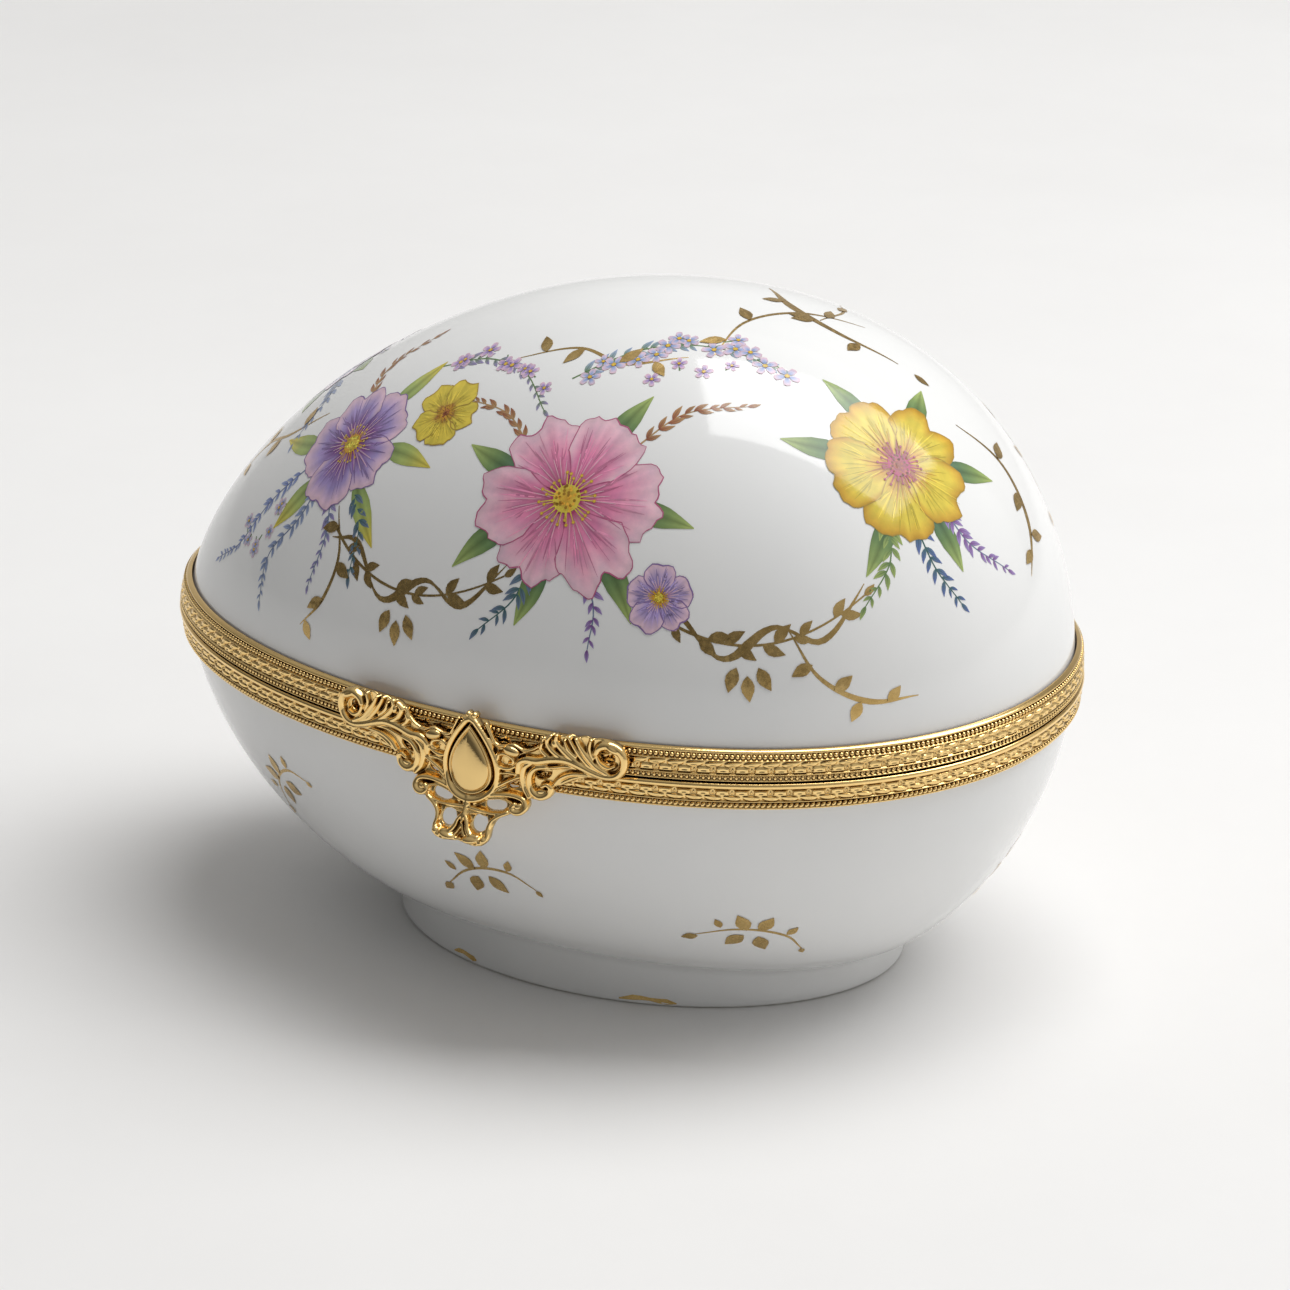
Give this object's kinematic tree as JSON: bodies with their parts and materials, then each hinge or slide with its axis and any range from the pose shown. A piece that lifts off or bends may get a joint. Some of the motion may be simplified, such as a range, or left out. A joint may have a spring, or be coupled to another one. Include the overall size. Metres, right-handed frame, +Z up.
{
  "type": "trinket box",
  "caption": "Egg-shaped porcelain trinket box lying on an oval foot, with a hinged dome lid, gilt brass rim frames and a pierced scroll clasp.",
  "frame": {"origin": "on the surface that the foot stands on, under the middle of the whole box", "axes": "+X towards the blunt end of the egg, +Y towards the hinge, -Y towards the clasp, +Z up"},
  "size_m": [0.148, 0.1168, 0.1042],
  "materials": {
    "porcelain": "white glaze",
    "gilt_brass": "gilt, polished with dark recesses",
    "pin_brass": "drawn wire",
    "setting_cement": "matt"
  },
  "bodies": {
    "base": {"base_shell": "porcelain", "base_frame": "gilt_brass", "base_setting_cement": "setting_cement", "base_hinge_bearer": "gilt_brass", "hinge_knuckle_1": "gilt_brass", "hinge_knuckle_3": "gilt_brass", "hinge_knuckle_5": "gilt_brass", "hinge_pin": "pin_brass", "catch_stud": "gilt_brass"},
    "lid": {"lid_shell": "porcelain", "lid_frame": "gilt_brass", "lid_setting_cement": "setting_cement", "lid_hinge_bearer": "gilt_brass", "hinge_knuckle_2": "gilt_brass", "hinge_knuckle_4": "gilt_brass", "clasp_ornament": "gilt_brass", "clasp_teardrop": "gilt_brass", "clasp_rivet_left": "gilt_brass", "clasp_rivet_right": "gilt_brass"}
  },
  "joints": [
    {"name": "lid_hinge", "type": "hinge", "parent": "base", "child": "lid", "pos_m": [0.00559, 0.05517, 0.047], "axis": [-1, 0, 0], "range_deg": [0, 75]}
  ]
}
